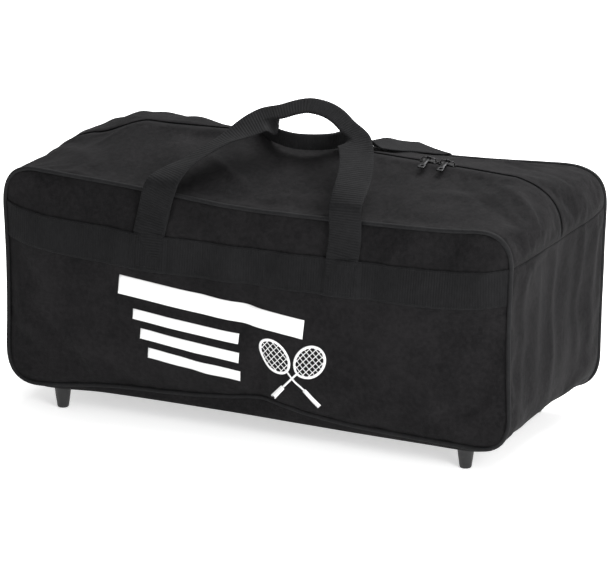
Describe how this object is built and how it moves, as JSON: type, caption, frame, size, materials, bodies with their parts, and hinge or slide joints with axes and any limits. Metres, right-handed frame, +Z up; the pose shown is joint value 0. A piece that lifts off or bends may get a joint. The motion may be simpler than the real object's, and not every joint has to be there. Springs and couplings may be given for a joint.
{
  "type": "racket tournament bag",
  "caption": "Soft rectangular holdall for rackets and kit, with a zip along the top, webbing bands, carrying handles and moulded feet.",
  "frame": {"origin": "middle of the footprint, on the plane that the feet stand on", "axes": "+X along the length towards the end where the zip sliders meet, -Y towards the front panel, +Z up"},
  "size_m": [0.764, 0.3322, 0.4522],
  "materials": {
    "bag_cloth": "coated polyester plain weave, matte with a soft sheen",
    "webbing": "ribbed polypropylene webbing",
    "piping_cloth": "bias cut cloth over cord",
    "binding_tape": "folded woven tape",
    "zip_cloth": "woven zip tape and nylon coil",
    "zip_metal": "black nickel plated zinc, worn bright on its crowns",
    "foot_plastic": "moulded, fine grain",
    "zinc_plated_steel": "zinc plated",
    "hardboard": "smooth pressed board"
  },
  "bodies": {
    "bag_body": {"front_panel": "bag_cloth", "rear_panel": "bag_cloth", "base_and_ends": "bag_cloth", "top_half_front": "bag_cloth", "top_half_rear": "bag_cloth", "piping_front": "piping_cloth", "piping_rear": "piping_cloth", "seam_binding_front": "binding_tape", "seam_binding_rear": "binding_tape", "front_band": "webbing", "rear_band": "webbing", "zip_tape_front": "zip_cloth", "zip_tape_rear": "zip_cloth", "zip_coil": "zip_cloth", "base_board": "hardboard", "foot_front_left": "foot_plastic", "foot_screw_front_left": "zinc_plated_steel", "foot_washer_front_left": "zinc_plated_steel", "foot_nut_front_left": "zinc_plated_steel", "foot_front_right": "foot_plastic", "foot_screw_front_right": "zinc_plated_steel", "foot_washer_front_right": "zinc_plated_steel", "foot_nut_front_right": "zinc_plated_steel", "foot_rear_left": "foot_plastic", "foot_screw_rear_left": "zinc_plated_steel", "foot_washer_rear_left": "zinc_plated_steel", "foot_nut_rear_left": "zinc_plated_steel", "foot_rear_right": "foot_plastic", "foot_screw_rear_right": "zinc_plated_steel", "foot_washer_rear_right": "zinc_plated_steel", "foot_nut_rear_right": "zinc_plated_steel"},
    "front_handle_loop": {"front_handle": "webbing"},
    "rear_handle_loop": {"rear_handle": "webbing"},
    "left_slider": {"slider_left": "zip_metal"},
    "right_slider": {"slider_right": "zip_metal"},
    "left_pull": {"pull_left": "zip_metal"},
    "right_pull": {"pull_right": "zip_metal"}
  },
  "joints": [
    {"name": "front_handle_fold", "type": "hinge", "parent": "bag_body", "child": "front_handle_loop", "pos_m": [0, -0.1583, 0.276], "axis": [1, 0, 0], "range_deg": [0, 165]},
    {"name": "rear_handle_fold", "type": "hinge", "parent": "bag_body", "child": "rear_handle_loop", "pos_m": [0, 0.1583, 0.276], "axis": [-1, 0, 0], "range_deg": [0, 165]},
    {"name": "left_slider_travel", "type": "slide", "parent": "bag_body", "child": "left_slider", "axis": [-0.9988, 0, 0.0499], "range_m": [0, 0.4]},
    {"name": "right_slider_travel", "type": "slide", "parent": "bag_body", "child": "right_slider", "axis": [0.9988, 0, -0.0499], "range_m": [0, 0.085]},
    {"name": "left_pull_swing", "type": "hinge", "parent": "left_slider", "child": "left_pull", "pos_m": [0.19182, 0, 0.38047], "axis": [-0.9988, 0, 0.0499], "range_deg": [0, 150]},
    {"name": "right_pull_swing", "type": "hinge", "parent": "right_slider", "child": "right_pull", "pos_m": [0.21882, 0, 0.37912], "axis": [-0.9988, 0, 0.0499], "range_deg": [0, 150]}
  ]
}
